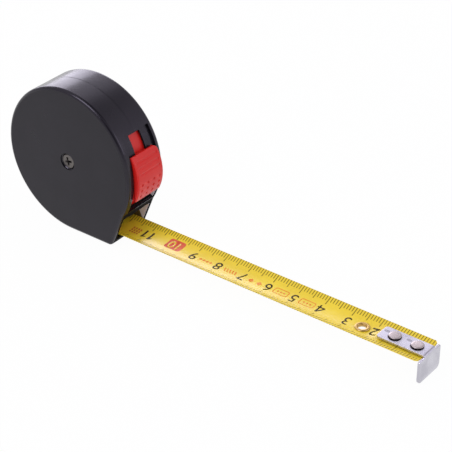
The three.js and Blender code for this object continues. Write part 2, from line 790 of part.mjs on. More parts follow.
place('front_shell', front_shell(), black_plastic);
place('rear_shell', rear_shell(), black_plastic);
place('case_screw', case_screw(), dark_steel);
place('spring_post', spring_post(), grey_plastic);
place('liner_front', front_liner(), pale_liner);
place('liner_rear', rear_liner(), pale_liner);
place('reel_drum', reel_drum(), grey_plastic);
place('spring_cover', spring_cover(), grey_plastic);
place('anchor_rivet', anchor_rivet(), brass);
place('mainspring', mainspring(), spring_steel);
place('blade_coil', blade_coil(), yellow_paint);
place('blade_stretch', blade_stretch(), yellow_paint);
place('blade_tip', blade_tip(), yellow_paint);
place('eyelet', eyelet(), brass);
place('eyelet_washer', eyelet_washer(), brass);
place('end_hook', end_hook(), zinc_steel);
rivet_inset.forEach((inset, i) => {
  place(`hook_rivet_${i + 1}`, hook_rivet(inset), rivet_steel);
});
place('lock_button', lock_button(), red_plastic);
place('brake_shoe', brake_shoe(), black_rubber);

const base_middle = (nose_reach - nose_radius) / 2;
tape.position.set(-base_middle, 0, case_radius);

export default tape;
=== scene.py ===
from math import acos, asin, atan2, cos, degrees, hypot, pi, radians, sin

import bmesh
import bpy
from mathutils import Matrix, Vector


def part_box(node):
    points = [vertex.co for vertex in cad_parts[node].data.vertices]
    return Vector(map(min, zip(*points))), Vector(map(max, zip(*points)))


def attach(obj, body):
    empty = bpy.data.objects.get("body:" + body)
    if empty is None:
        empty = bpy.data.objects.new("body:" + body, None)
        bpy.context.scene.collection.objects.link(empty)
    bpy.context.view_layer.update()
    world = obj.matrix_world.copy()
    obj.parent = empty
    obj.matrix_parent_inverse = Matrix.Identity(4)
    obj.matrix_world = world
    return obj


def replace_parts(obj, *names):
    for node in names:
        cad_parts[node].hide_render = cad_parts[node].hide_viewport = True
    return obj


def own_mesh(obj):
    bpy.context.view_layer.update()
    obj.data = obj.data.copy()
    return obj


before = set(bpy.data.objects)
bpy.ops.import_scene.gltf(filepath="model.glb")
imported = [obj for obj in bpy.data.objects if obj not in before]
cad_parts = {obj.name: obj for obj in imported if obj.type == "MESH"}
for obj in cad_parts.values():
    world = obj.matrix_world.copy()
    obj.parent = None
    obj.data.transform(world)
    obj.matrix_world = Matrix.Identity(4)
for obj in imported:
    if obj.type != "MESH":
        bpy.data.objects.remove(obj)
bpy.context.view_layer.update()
mm = 0.001

# ---- Case shells ----
# Two mouldings of black ABS that meet just behind the middle of the case: a round rim, a flat base and a
# sharp lower nose, with satin sides and rounded edges. One screw through the front one holds them together.
# The front is open for the blade, and the rim is recessed for the thumb lock.

reel_axis = (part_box("reel_drum")[0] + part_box("reel_drum")[1]) / 2
case_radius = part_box("front_shell")[1].z - reel_axis.z
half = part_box("rear_shell")[1].y
front_angle = -31  # degrees, where the round rim turns into the straight front
nose_reach = case_radius - 9 * mm
seam_y = 0.4 * mm
seam_gap = 0.004 * mm
seam_edge = 0.15 * mm
rim_wall = 1.6 * mm
inner_half = half - 1.5 * mm
edge_radius = 1.3 * mm
nose_radius = 1.45 * mm
slack = 0.01 * mm  # this far off a plane still counts as on it


def polar(radius, angle):
    """The point at that angle about the reel's axis, counted up from level."""
    turn = radians(angle)
    return Vector((reel_axis.x + radius * cos(turn), 0, reel_axis.z + radius * sin(turn)))


def angle_of(point):
    return degrees(atan2(point.z - reel_axis.z, point.x - reel_axis.x))


def off_axis(point):
    return hypot(point.x - reel_axis.x, point.z - reel_axis.z)


nose = Vector((reel_axis.x + nose_reach, 0, reel_axis.z - case_radius))
front_down = (nose - polar(case_radius, front_angle)).normalized()
front_out = Vector((-front_down.z, 0, front_down.x))


def inside(point):
    """How far a point lies inside the case's outline, seen along Y."""
    round_rim = case_radius - off_axis(point)
    front = (nose - point).dot(front_out)
    base = point.z - nose.z
    low_front = point.x > reel_axis.x and point.z < polar(case_radius, front_angle).z
    return min(front, base) if low_front else min(round_rim, base)


def only(piece):
    """Selects that object alone and makes it active."""
    bpy.ops.object.select_all(action="DESELECT")
    piece.select_set(True)
    bpy.context.view_layer.objects.active = piece


def start(add, name, scale=(1, 1, 1), **place):
    """Adds a primitive under its name and puts its place into its mesh."""
    bpy.ops.object.select_all(action="DESELECT")
    add(**place)
    piece = bpy.context.active_object
    piece.name = piece.data.name = name
    piece.scale = scale
    bpy.ops.object.transform_apply(location=True, rotation=True, scale=True)
    return piece


def edit(piece):
    only(piece)
    bpy.ops.object.mode_set(mode="EDIT")
    bpy.ops.mesh.select_all(action="DESELECT")


def done():
    bpy.ops.object.mode_set(mode="OBJECT")


def pick(piece, test, kind="VERT"):
    """In edit mode, selects the vertices, edges or faces of which every corner passes the test."""
    bpy.ops.mesh.select_all(action="DESELECT")
    bpy.context.tool_settings.mesh_select_mode = (kind == "VERT", kind == "EDGE", kind == "FACE")
    mesh = bmesh.from_edit_mesh(piece.data)
    for part in {"VERT": mesh.verts, "EDGE": mesh.edges, "FACE": mesh.faces}[kind]:
        corners = [part] if kind == "VERT" else part.verts
        if all(test(corner.co) for corner in corners):
            part.select_set(True)
    bmesh.update_edit_mesh(piece.data)


def pick_all():
    bpy.ops.mesh.select_all(action="SELECT")


def move(x=0.0, y=0.0, z=0.0):
    bpy.ops.transform.translate(value=(x, y, z))


def push(x=0.0, y=0.0, z=0.0):
    """Extrudes the selected region."""
    bpy.ops.mesh.extrude_region_move(TRANSFORM_OT_translate={"value": (x, y, z)})


def bevel(offset, segments, kind="EDGES"):
    """Rounds the selected edges or, with VERTICES, the selected corners of a flat face."""
    bpy.ops.mesh.bevel(offset=offset, segments=segments, affect=kind, clamp_overlap=False)


def tidy(piece):
    """Merges doubles, drops what has no face and turns the faces outwards."""
    edit(piece)
    pick_all()
    bpy.ops.mesh.remove_doubles(threshold=0.0005 * mm)
    bpy.ops.mesh.delete_loose()
    pick_all()
    bpy.ops.mesh.normals_make_consistent(inside=False)
    done()


def modify(piece, kind, **settings):
    """Adds a modifier with those settings and applies it."""
    only(piece)
    change = piece.modifiers.new(kind.lower(), kind)
    for name, value in settings.items():
        setattr(change, name, value)
    bpy.ops.object.modifier_apply(modifier=change.name)


def combine(piece, tool, how="DIFFERENCE", keep=False):
    modify(piece, "BOOLEAN", object=tool, operation=how, solver="EXACT")
    if not keep:
        bpy.data.objects.remove(tool)


def smooth(piece, angle=30):
    """Smooth shading that keeps flat faces flat and corners sharp."""
    only(piece)
    bpy.ops.object.shade_smooth_by_angle(angle=radians(angle))
    modify(piece, "WEIGHTED_NORMAL", keep_sharp=True, weight=50)


def outline(name, inset, y0, y1):
    """The case's outline, moved in by inset, as a block from y0 to y1: a circle with its lower front arc
    drawn out into the nose."""
    radius = case_radius - inset
    block = start(bpy.ops.mesh.primitive_circle_add, name, vertices=180, radius=radius, fill_type="NGON",
                  location=(reel_axis.x, y0, reel_axis.z), rotation=(pi / 2, -radians(1), 0))
    edit(block)
    pick(block, lambda p: p.x > reel_axis.x and angle_of(p) < front_angle - 0.5)
    bpy.ops.mesh.merge(type="CENTER")
    corner = next(v.co.copy() for v in bmesh.from_edit_mesh(block.data).verts if v.select)
    top = polar(case_radius, front_angle) - front_out * inset
    reach = (top.z - (nose.z + inset)) / -front_down.z
    goal = top + front_down * reach
    move(goal.x - corner.x, 0, goal.z - corner.z)
    pick_all()
    push(y=y1 - y0)
    done()
    tidy(block)
    return block


def box(name, x0, x1, y0, y1, z0, z1):
    return start(bpy.ops.mesh.primitive_cube_add, name, size=1,
                 location=((x0 + x1) / 2, (y0 + y1) / 2, (z0 + z1) / 2), scale=(x1 - x0, y1 - y0, z1 - z0))


def sector(name, inner, outer, low, high, y0, y1):
    """A block of a ring about the reel's axis, spun from its lower end face."""
    block = start(bpy.ops.mesh.primitive_plane_add, name, size=1, location=((inner + outer) / 2, 0, 0),
                  scale=(outer - inner, y1 - y0, 1))
    only(block)
    block.rotation_euler.y = -radians(low)
    block.location = (reel_axis.x, (y0 + y1) / 2, reel_axis.z)
    bpy.ops.object.transform_apply(location=True, rotation=True, scale=True)
    edit(block)
    pick_all()
    steps = max(2, round((high - low) / 1.5))
    bpy.ops.mesh.spin(steps=steps, angle=radians(high - low), center=tuple(reel_axis), axis=(0, 1, 0))
    done()
    tidy(block)
    return block


def shell_blank(name, outer_y, seam):
    """The outline as a solid half, with its rounded edges."""
    shell = outline(name, 0, seam, outer_y)
    edit(shell)
    pick(shell, lambda p: inside(p) < slack and (p - nose).xz.length < slack, "EDGE")
    bevel(nose_radius * 0.67, 6)
    pick(shell, lambda p: abs(p.y - outer_y) < slack and inside(p) < 0.3 * mm, "EDGE")
    bevel(edge_radius, 8)
    pick(shell, lambda p: abs(p.y - seam) < slack and inside(p) < 0.3 * mm, "EDGE")
    bevel(seam_edge, 2)
    done()
    return shell


front_shell = shell_blank("case_front", -half, seam_y - seam_gap / 2)
rear_shell = shell_blank("case_rear", half, seam_y + seam_gap / 2)

sill_top = nose.z + 1.95 * mm
sill_back = nose.x - 8.4 * mm
mouth_top = sill_top + 9.35 * mm
bar_height = 2.5 * mm
mouth_half_width = 6.8 * mm
window_bottom = degrees(asin((mouth_top + bar_height - reel_axis.z) / case_radius))
track_half_width = half - 2.3 * mm
track_floor = case_radius - 0.9 * mm
track_top = 34.5
window_top = 3
lip_top = -10.7
slot_half_width = 2.7 * mm
strip_inner = case_radius - rim_wall - 1.3 * mm
beyond = case_radius + 5 * mm

hollow = outline("hollow", rim_wall, -inner_half, inner_half)
combine(hollow, box("sill", sill_back, reel_axis.x + beyond, -half, half, 0, sill_top))
openings = [
    hollow,
    box("mouth", sill_back, reel_axis.x + beyond, -mouth_half_width, inner_half, sill_top, mouth_top),
    sector("track", track_floor, beyond, window_bottom, track_top, seam_y - track_half_width,
           seam_y + track_half_width),
    sector("window", strip_inner, beyond, window_bottom, window_top, seam_y - track_half_width,
           seam_y + track_half_width),
    sector("window_side", strip_inner, beyond, window_bottom, lip_top + 0.7, seam_y, inner_half),
    sector("slot", strip_inner, beyond, window_top - 1, track_top - 1, seam_y - slot_half_width,
           seam_y + slot_half_width),
]
for tool in openings:
    combine(front_shell, tool, keep=True)
    combine(rear_shell, tool)

# The screw's head lies in a dished recess in the front shell.
screw_centre = Vector((reel_axis.x, 0, reel_axis.z))
screw_head = 2.5 * mm
recess_radius = screw_head + 0.5 * mm
head_top = -half + 0.35 * mm
shank = 1.25 * mm


def closed_line(name, corners, fill="NOTHING"):
    """A line through those corners and back to the first, filled or not, left in edit mode."""
    drawn = start(bpy.ops.mesh.primitive_circle_add, name, vertices=len(corners), radius=mm, fill_type=fill)
    edit(drawn)
    for vertex, corner in zip(bmesh.from_edit_mesh(drawn.data).verts, corners):
        vertex.co = corner
    return drawn


def turned(name, profile, centre, steps=64, upright=False):
    """A body spun from [radius, distance along the axis] corners, about an axis along Y or an upright one."""
    body = closed_line(name, [Vector((radius, 0, along) if upright else (radius, along, 0)) + centre
                              for radius, along in profile])
    pick_all()
    bpy.ops.mesh.spin(steps=steps, angle=2 * pi, center=tuple(centre),
                      axis=(0, 0, 1) if upright else (0, 1, 0))
    done()
    tidy(body)
    return body


recess = turned("recess", [(0, -half - mm), (recess_radius, -half - mm), (recess_radius, head_top + 0.1 * mm),
                           (shank + 0.3 * mm, head_top + 1.5 * mm), (shank + 0.3 * mm, -inner_half + mm),
                           (0, -inner_half + mm)], screw_centre)
combine(front_shell, recess)
smooth(front_shell)
smooth(rear_shell)
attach(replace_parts(front_shell, "front_shell"), "case")
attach(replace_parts(rear_shell, "rear_shell"), "case")


def wire(tree, made, sockets):
    """On each input of a node, by its name or number, sets a value or links an output."""
    for name, value in sockets.items():
        if isinstance(value, bpy.types.NodeSocket):
            tree.links.new(value, made.inputs[name])
        else:
            made.inputs[name].default_value = value
    return made


def node(tree, kind, sockets=None, **settings):
    """Adds a node with those settings and wires its sockets."""
    made = tree.nodes.new(kind)
    for name, value in settings.items():
        setattr(made, name, value)
    return wire(tree, made, sockets or {})


def effect(name, inputs, outputs):
    """A new node group, with its input and output nodes."""
    group = bpy.data.node_groups.new(name, "ShaderNodeTree")
    for label, kind in inputs.items():
        group.interface.new_socket(label, in_out="INPUT", socket_type="NodeSocket" + kind)
    for label, kind in outputs.items():
        group.interface.new_socket(label, in_out="OUTPUT", socket_type="NodeSocket" + kind)
    return group, node(group, "NodeGroupInput"), node(group, "NodeGroupOutput")


def math(tree, operation, first, second=0.0):
    return node(tree, "ShaderNodeMath", {0: first, 1: second}, operation=operation).outputs[0]


def ramp(tree, value, low, high, bottom=0.0, top=1.0):
    """Runs from bottom to top as the value goes from low to high, and stays level outside."""
    return node(tree, "ShaderNodeMapRange", {
        "Value": value, "From Min": low, "From Max": high, "To Min": bottom, "To Max": top},
        interpolation_type="SMOOTHSTEP").outputs[0]


def blend_colour(tree, share, first, second):
    return node(tree, "ShaderNodeMix", {0: share, 6: first, 7: second}, data_type="RGBA").outputs[2]


def new_material(name):
    """A new material: its tree, its Principled shader and its Object coordinates."""
    made = bpy.data.materials.new(name)
    made.use_nodes = True
    tree = made.node_tree
    return made, tree, tree.nodes["Principled BSDF"], node(tree, "ShaderNodeTexCoord").outputs["Object"]


def bump(tree, height, distance):
    return node(tree, "ShaderNodeBump", {"Height": height, "Distance": distance}).outputs[0]


# Grain of a moulded or rolled surface: fine height, slow clouds of tone, and wear on the edges.
surface_group, surface_in, surface_out = effect(
    "surface", {"Vector": "Vector", "Grain": "Float", "Cloud": "Float"},
    {"Height": "Float", "Tone": "Float", "Wear": "Float"})
fine = node(surface_group, "ShaderNodeTexNoise", {
    "Vector": surface_in.outputs["Vector"], "Scale": surface_in.outputs["Grain"], "Detail": 3.0,
    "Roughness": 0.6}).outputs["Fac"]
slow = node(surface_group, "ShaderNodeTexNoise", {
    "Vector": surface_in.outputs["Vector"], "Scale": surface_in.outputs["Cloud"], "Detail": 4.0,
    "Roughness": 0.55}).outputs["Fac"]
edge = node(surface_group, "ShaderNodeNewGeometry").outputs["Pointiness"]
broken_edge = math(surface_group, "MULTIPLY", ramp(surface_group, edge, 0.52, 0.62),
                   ramp(surface_group, slow, 0.42, 0.62))
wire(surface_group, surface_out, {"Height": fine, "Tone": slow, "Wear": broken_edge})


def surface(tree, place, grain, cloud):
    return node(tree, "ShaderNodeGroup", {"Vector": place, "Grain": grain, "Cloud": cloud},
                node_tree=surface_group).outputs


def moulded(name, colour, shade, worn, roughness, grain=2600, depth=0.012 * mm, reflects=0.5):
    """Moulded plastic: two near tones, paler where the edges are worn, and a fine grain."""
    made, tree, shader, place = new_material(name)
    skin = surface(tree, place, grain, 90)
    tone = blend_colour(tree, ramp(tree, skin["Tone"], 0.3, 0.7), shade, colour)
    wire(tree, shader, {
        "Base Color": blend_colour(tree, skin["Wear"], tone, worn),
        "Roughness": ramp(tree, skin["Tone"], 0.25, 0.75, roughness + 0.06, roughness - 0.05),
        "Specular IOR Level": reflects,
        "Normal": bump(tree, skin["Height"], depth)})
    return made


def paint(piece, material):
    """Gives a piece that material in place of all it has."""
    piece.data.materials.clear()
    piece.data.materials.append(material)
    for face in piece.data.polygons:
        face.material_index = 0


def partly(piece, material, test):
    """Gives that material to the faces whose middle passes the test."""
    piece.data.materials.append(material)
    for face in piece.data.polygons:
        if test(face.center):
            face.material_index = len(piece.data.materials) - 1


def left_matt(point):
    """The inside of the shells and the straight front round the mouth, which aren't polished in the mould."""
    on_front = abs((nose - point).dot(front_out)) < 0.1 * mm and abs(point.y) < half - edge_radius
    on_front = on_front and point.z < mouth_top + bar_height + mm
    return on_front or min(inside(point), half - abs(point.y)) > 1.1 * mm


black_plastic = moulded("black_plastic", (0.0062, 0.0056, 0.0086, 1), (0.0046, 0.0042, 0.0066, 1),
                        (0.022, 0.021, 0.026, 1), 0.22, reflects=0.46)
satin_black = moulded("satin_black", (0.0058, 0.0052, 0.0080, 1), (0.0044, 0.0040, 0.0062, 1),
                      (0.022, 0.021, 0.026, 1), 0.32, grain=2200, depth=0.010 * mm, reflects=0.34)
for black in (black_plastic, satin_black):
    black.node_tree.nodes["Principled BSDF"].inputs["Specular Tint"].default_value = (0.93, 0.87, 1, 1)
matt_black = moulded("matt_black", (0.0060, 0.0055, 0.0060, 1), (0.0045, 0.0040, 0.0045, 1),
                     (0.015, 0.014, 0.015, 1), 0.75, grain=1500, depth=0.03 * mm, reflects=0.1)
for shell in (front_shell, rear_shell):
    paint(shell, black_plastic)
    partly(shell, satin_black, lambda p: abs(p.y) > half - 0.02 * mm)
    partly(shell, matt_black, left_matt)

# ---- Case screw ----
# One self-tapping screw with a countersunk cross-recessed head, in dull zinc-plated steel. It sits in the
# front shell's recess, runs through the reel's post and bites into it.

screw_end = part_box("case_screw")[1].y
case_screw = turned("screw", [
    (0, head_top), (2.1 * mm, head_top), (screw_head - 0.12 * mm, head_top + 0.08 * mm),
    (screw_head, head_top + 0.22 * mm), (shank, head_top + 1.2 * mm), (shank, screw_end - 0.8 * mm),
    (0.6 * mm, screw_end), (0, screw_end)], screw_centre)
cross_turn = 12
cross_depth = 1.3 * mm
arm_reach = 1.62 * mm
arm_half = 0.42 * mm
for arm in range(2):
    cutter = box("cross_arm", -arm_reach, arm_reach, head_top - 0.05 * mm, head_top + cross_depth,
                 -arm_half, arm_half)
    edit(cutter)
    pick(cutter, lambda p: p.y > head_top)
    bpy.ops.transform.resize(value=(0.3, 1, 0.5), center_override=(0, 0, 0))
    pick_all()
    bpy.ops.transform.rotate(value=radians(cross_turn + 90 * arm), orient_axis="Y", center_override=(0, 0, 0))
    move(*screw_centre)
    done()
    combine(case_screw, cutter)
smooth(case_screw)
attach(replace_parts(case_screw, "case_screw"), "case")


def metal(name, colour, stained, roughness):
    """Bare or plated metal: a slightly stained tone, fine streaks along X and uneven gloss."""
    made, tree, shader, place = new_material(name)
    skin = surface(tree, place, 1500, 160)
    drawn_out = node(tree, "ShaderNodeMapping", {"Vector": place, "Scale": (0.06, 1, 1)}).outputs[0]
    streaks = node(tree, "ShaderNodeTexNoise",
                   {"Vector": drawn_out, "Scale": 900, "Detail": 2.0}).outputs["Fac"]
    gloss = math(tree, "ADD", ramp(tree, skin["Tone"], 0.3, 0.7, roughness - 0.05, roughness + 0.07),
                 math(tree, "MULTIPLY", streaks, 0.08))
    wire(tree, shader, {
        "Base Color": blend_colour(tree, ramp(tree, skin["Tone"], 0.35, 0.75), colour, stained),
        "Metallic": 1.0,
        "Roughness": gloss,
        "Normal": bump(tree, math(tree, "ADD", streaks, skin["Height"]), 0.004 * mm)})
    return made


paint(case_screw, metal("screw_steel", (0.16, 0.147, 0.14, 1), (0.095, 0.086, 0.082, 1), 0.46))

# ---- Reel, spring and liners ----
# Inside the case: a grey moulded drum on a slotted post, the flat mainspring wound in it, and two slippery
# film discs at the blade's edges. Their CAD shapes are right as they are, so they only get their finishes.


def overlay(made, mask_of, colour):
    """Lays another colour over a material's own, where the mask made from its Object coordinates is 1."""
    tree = made.node_tree
    shader = tree.nodes["Principled BSDF"]
    below = shader.inputs["Base Color"].links[0].from_socket
    place = node(tree, "ShaderNodeTexCoord").outputs["Object"]
    wire(tree, shader, {"Base Color": blend_colour(tree, mask_of(tree, place), below, colour)})
    return made


def worn_lip(tree, place):
    """Painted shade: the film stays pale in front of a slanting line by the mouth, and behind it is painted
    dark olive, the shaded inside of the case with the yellow blade reflected in it.
    """
    axes = node(tree, "ShaderNodeSeparateXYZ", {"Vector": place}).outputs
    forward = math(tree, "ADD", axes["X"], math(tree, "MULTIPLY", axes["Z"], 0.5))
    line = reel_axis.x + 20.2 * mm
    return ramp(tree, forward, line - 0.2 * mm, line + 0.2 * mm, 1, 0)


grey_plastic = moulded("grey_plastic", (0.27, 0.28, 0.30, 1), (0.22, 0.23, 0.25, 1),
                       (0.36, 0.37, 0.39, 1), 0.5)
liner_film = moulded("liner_film", (0.82, 0.84, 1.0, 1), (0.86, 0.84, 0.94, 1), (0.92, 0.90, 0.98, 1), 0.4,
                     grain=4000, depth=0.006 * mm)
# The film gets painted shade, dark olive, behind the mouth's lip.
overlay(liner_film, worn_lip, (0.16, 0.11, 0.035, 1))
spring_steel = metal("spring_steel", (0.28, 0.31, 0.36, 1), (0.22, 0.21, 0.22, 1), 0.32)
brass = metal("brass", (0.68, 0.47, 0.17, 1), (0.57, 0.38, 0.13, 1), 0.34)
rubber = moulded("shoe_rubber", (0.022, 0.022, 0.023, 1), (0.016, 0.016, 0.017, 1),
                 (0.05, 0.05, 0.05, 1), 0.75, grain=1800, depth=0.03 * mm)
for name, material in {"reel_drum": grey_plastic, "spring_cover": grey_plastic, "spring_post": grey_plastic,
                       "liner_front": liner_film, "liner_rear": liner_film, "mainspring": spring_steel,
                       "anchor_rivet": brass, "eyelet_washer": brass, "brake_shoe": rubber}.items():
    paint(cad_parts[name], material)

# ---- Thumb lock ----
# One glossy red moulding. Its curved pad slides in the rim's recess and has three flutes and three rows of
# dimples for grip. A neck through the slot joins it to a strip inside the rim, whose tongue presses the
# brake shoe down.

pad_top, pad_bottom = 19, -15.5
pad_half = track_half_width - 0.3 * mm
pad_seat = case_radius - 0.6 * mm
strip_outer = case_radius - rim_wall - 0.3 * mm
strip_half = slot_half_width + 0.5 * mm
strip_top, strip_bottom = 37, -43
shoe_low, shoe_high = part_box("brake_shoe")


def soften(piece, width, segments, clamp=False):
    """Rounds every sharp edge of a piece."""
    modify(piece, "BEVEL", width=width, segments=segments, limit_method="ANGLE", angle_limit=radians(35),
           use_clamp_overlap=clamp)


def circle_through(a, b, c):
    """Centre and radius, in X and Z, of the circle through three points."""
    def squared(p):
        return p.x ** 2 + p.z ** 2
    d = 2 * (a.x * (b.z - c.z) + b.x * (c.z - a.z) + c.x * (a.z - b.z))
    centre = Vector(((squared(a) * (b.z - c.z) + squared(b) * (c.z - a.z) + squared(c) * (a.z - b.z)) / d, 0,
                     (squared(a) * (c.x - b.x) + squared(b) * (a.x - c.x) + squared(c) * (b.x - a.x)) / d))
    return centre, (a - centre).length


pad_centre, pad_radius = circle_through(
    polar(case_radius + 0.5 * mm, pad_top), polar(case_radius + 1.9 * mm, 0.5),
    polar(case_radius + 1.2 * mm, pad_bottom))


def cylinder(name, radius, y0, y1, centre, vertices=32):
    return start(bpy.ops.mesh.primitive_cylinder_add, name, vertices=vertices, radius=radius, depth=y1 - y0,
                 location=(centre.x, (y0 + y1) / 2, centre.z), rotation=(pi / 2, 0, 0))


def on_pad(angle, lift, y=0.0):
    """A point at that angle about the reel's axis, lifted from the pad's face."""
    away = polar(1, angle) - polar(0, angle)
    offset = polar(0, angle) - pad_centre
    along = -offset.dot(away) + (offset.dot(away) ** 2 - offset.length_squared + pad_radius ** 2) ** 0.5
    point = polar(along + lift, angle)
    return Vector((point.x, y, point.z))


pad = sector("thumb_pad", pad_seat, beyond, pad_bottom, pad_top, seam_y - pad_half, seam_y + pad_half)
combine(pad, cylinder("pad_face", pad_radius, -half, half, pad_centre, 360), "INTERSECT")
# The far upper corner is rounded by a block from which a cylinder of the corner's radius is taken.
round_corner = 1.7 * mm
corner_y = seam_y + pad_half
corner_tool = box("corner", pad_seat - mm, beyond + mm, corner_y - round_corner, corner_y + mm,
                  -round_corner, mm)
combine(corner_tool, start(bpy.ops.mesh.primitive_cylinder_add, "corner_round", vertices=48,
                           radius=round_corner, depth=0.1, rotation=(0, pi / 2, 0),
                           location=(0.03, corner_y - round_corner, -round_corner)))
only(corner_tool)
corner_tool.rotation_euler.y = -radians(pad_top)
corner_tool.location = reel_axis
bpy.ops.object.transform_apply(location=True, rotation=True)
combine(pad, corner_tool)
edit(pad)
pick_all()
bpy.ops.mesh.dissolve_limited(angle_limit=radians(0.4))
done()
soften(pad, 0.35 * mm, 4)
for angle in (14.5, 10.0, 5.5):
    combine(pad, cylinder("flute", 1.05 * mm, seam_y - pad_half + 1.2 * mm, seam_y + pad_half - 1.2 * mm,
                          on_pad(angle, 0.9 * mm)))
for angle in (-2.5, -7.2, -11.8):
    for column in (-1.5, -0.5, 0.5, 1.5):
        dimple = start(bpy.ops.mesh.primitive_uv_sphere_add, "dimple", segments=20, ring_count=12,
                       radius=0.70 * mm, location=on_pad(angle, 0.38 * mm, seam_y + column * 2.9 * mm))
        combine(pad, dimple)

lock = sector("lock_slide", strip_inner, strip_outer, strip_bottom, strip_top, seam_y - strip_half,
              seam_y + strip_half)
edit(lock)
pick(lock, lambda p: abs(angle_of(p) - strip_bottom) < 0.05, "FACE")
push()
for vertex in [v for v in bmesh.from_edit_mesh(lock.data).verts if v.select]:
    outer_side = off_axis(vertex.co) > strip_inner + 0.5 * mm
    vertex.co.x = shoe_high.x if outer_side else shoe_low.x
    vertex.co.z = shoe_high.z
done()
tidy(lock)
soften(lock, 0.12 * mm, 2, clamp=True)
neck_half = slot_half_width - 0.3 * mm
combine(lock, sector("neck", strip_outer - 0.5 * mm, pad_seat + 0.4 * mm, pad_bottom + 3, pad_top - 0.6,
                     seam_y - neck_half, seam_y + neck_half), "UNION")
combine(lock, pad, "UNION")
smooth(lock)
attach(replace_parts(lock, "lock_button"), "lock")
red_plastic = moulded("red_plastic", (0.64, 0.011, 0.008, 1), (0.58, 0.009, 0.006, 1),
                      (0.74, 0.04, 0.03, 1), 0.34, grain=1700, depth=0.006 * mm, reflects=0.38)
paint(lock, red_plastic)

# ---- Blade ----
# Carbon steel strip 13 mm wide, rolled hollow so that it stands out stiff, and lacquered yellow on both
# sides. The millimetre scale is printed along both edges of its upper side. Its stretch behind the rigid
# end flattens as the blade goes in.

scale_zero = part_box("end_hook")[1].x
blade_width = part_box("blade_coil")[1].y * 2
blade_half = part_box("blade_tip")[1].y
blade_sag = 1.5 * mm
blade_thickness = 0.2 * mm
edge_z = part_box("blade_tip")[1].z
stretch_low, stretch_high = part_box("blade_stretch")
tip_low, tip_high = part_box("blade_tip")
level_from = nose.x - 5.4 * mm
coil_radius = case_radius - 8 * mm
leaving_angle = -115.8
leaving = polar(coil_radius, leaving_angle)
middle_z = edge_z - blade_sag
rows = 24
stretch_columns, tip_columns = 72, 26
unprinted = 100  # added across the map, in millimetres, where there is no print


def strip(name, x0, x1, columns):
    """A level stretch of blade: a flat grid pressed hollow row by row, its top at the blade's height."""
    sheet = start(bpy.ops.mesh.primitive_grid_add, name, x_subdivisions=columns, y_subdivisions=rows,
                  size=1, location=((x0 + x1) / 2, 0, edge_z), scale=(x1 - x0, 2 * blade_half, 1))
    edit(sheet)
    for row in range(rows + 1):
        share = 2 * row / rows - 1
        pick(sheet, lambda p: abs(p.y - share * blade_half) < slack)
        move(z=-blade_sag * (1 - share ** 2))
    done()
    return sheet


def face_up(sheet):
    """In edit mode, turns the selected faces upwards."""
    if bmesh.from_edit_mesh(sheet.data).faces[:][0].normal.z < 0:
        bpy.ops.mesh.flip_normals()


def thicken(sheet):
    """Gives the strip its thickness below, then its UV map: millimetres from the scale's zero and from the
    middle. The under side and the edges carry no print, so their map is put far off it."""
    edit(sheet)
    pick_all()
    bpy.ops.mesh.normals_make_consistent(inside=False)
    face_up(sheet)
    done()
    modify(sheet, "SOLIDIFY", thickness=blade_thickness, offset=-1, use_even_offset=True)
    sheet.data.uv_layers[0].name = "print"
    for face in sheet.data.polygons:
        shift = 0 if face.normal.z > 0.3 else unprinted
        for loop in face.loop_indices:
            point = sheet.data.vertices[sheet.data.loops[loop].vertex_index].co
            sheet.data.uv_layers[0].data[loop].uv = ((scale_zero - point.x) / mm, shift + point.y / mm)


def lead_height(x):
    """Height of the strip's middle, as it comes down from the coil and turns level."""
    length = level_from - leaving.x
    slope = -cos(radians(leaving_angle)) / sin(radians(leaving_angle))
    t = (x - leaving.x) / length
    return (leaving.z * (2 * t ** 3 - 3 * t ** 2 + 1) + length * slope * (t ** 3 - 2 * t ** 2 + t)
            + middle_z * (3 * t ** 2 - 2 * t ** 3))


stretch = strip("blade_scale", stretch_low.x, stretch_high.x, stretch_columns)
edit(stretch)
for column in range(stretch_columns + 1):
    x = stretch_low.x + column * (stretch_high.x - stretch_low.x) / stretch_columns
    if x >= level_from:
        break
    t = (x - leaving.x) / (level_from - leaving.x)
    pick(stretch, lambda p: abs(p.x - x) < 0.02 * mm)
    bpy.ops.transform.resize(value=(1, 1 + (1 - t) * (blade_width / 2 / blade_half - 1), t),
                             center_override=(x, 0, middle_z))
    move(z=lead_height(x) - middle_z)
done()
thicken(stretch)
smooth(stretch)

# The rigid end: flatter under the hook, with clipped corners and holes for the rivets and the eyelet.
hook_low, hook_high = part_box("end_hook")
hook_sag = 0.9 * mm
press_length = 4 * mm
tip = strip("blade_end", tip_low.x, tip_high.x, tip_columns)
edit(tip)
for column in range(tip_columns + 1):
    x = tip_low.x + column * (tip_high.x - tip_low.x) / tip_columns
    pressed = min(1, max(0, (x - hook_low.x + press_length) / press_length))
    pressed = pressed * pressed * (3 - 2 * pressed)
    pick(tip, lambda p: abs(p.x - x) < 0.02 * mm)
    bpy.ops.transform.resize(value=(1, 1, 1 - pressed * (1 - hook_sag / blade_sag)),
                             center_override=(x, 0, edge_z))
done()
thicken(tip)
rivets = [(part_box(f"hook_rivet_{i}")[0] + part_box(f"hook_rivet_{i}")[1]) / 2 for i in (1, 2)]
eyelet_centre = (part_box("eyelet")[0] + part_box("eyelet")[1]) / 2
rivet_radius = 1.0 * mm


def pin(name, radius, depth, centre):
    """An upright cylinder."""
    return start(bpy.ops.mesh.primitive_cylinder_add, name, vertices=48, radius=radius, depth=depth,
                 location=centre)


for rivet in rivets:
    combine(tip, pin("drill", rivet_radius + 0.15 * mm, 8 * mm, rivet))
combine(tip, pin("drill", 1.8 * mm, 8 * mm, eyelet_centre))
clip = 1.2 * mm
for side in (-1, 1):
    combine(tip, start(bpy.ops.mesh.primitive_cube_add, "clip", size=2 * clip, rotation=(0, 0, pi / 4),
                       location=(tip_high.x + 0.4 * clip, side * (blade_half + 0.4 * clip), edge_z)))
smooth(tip)

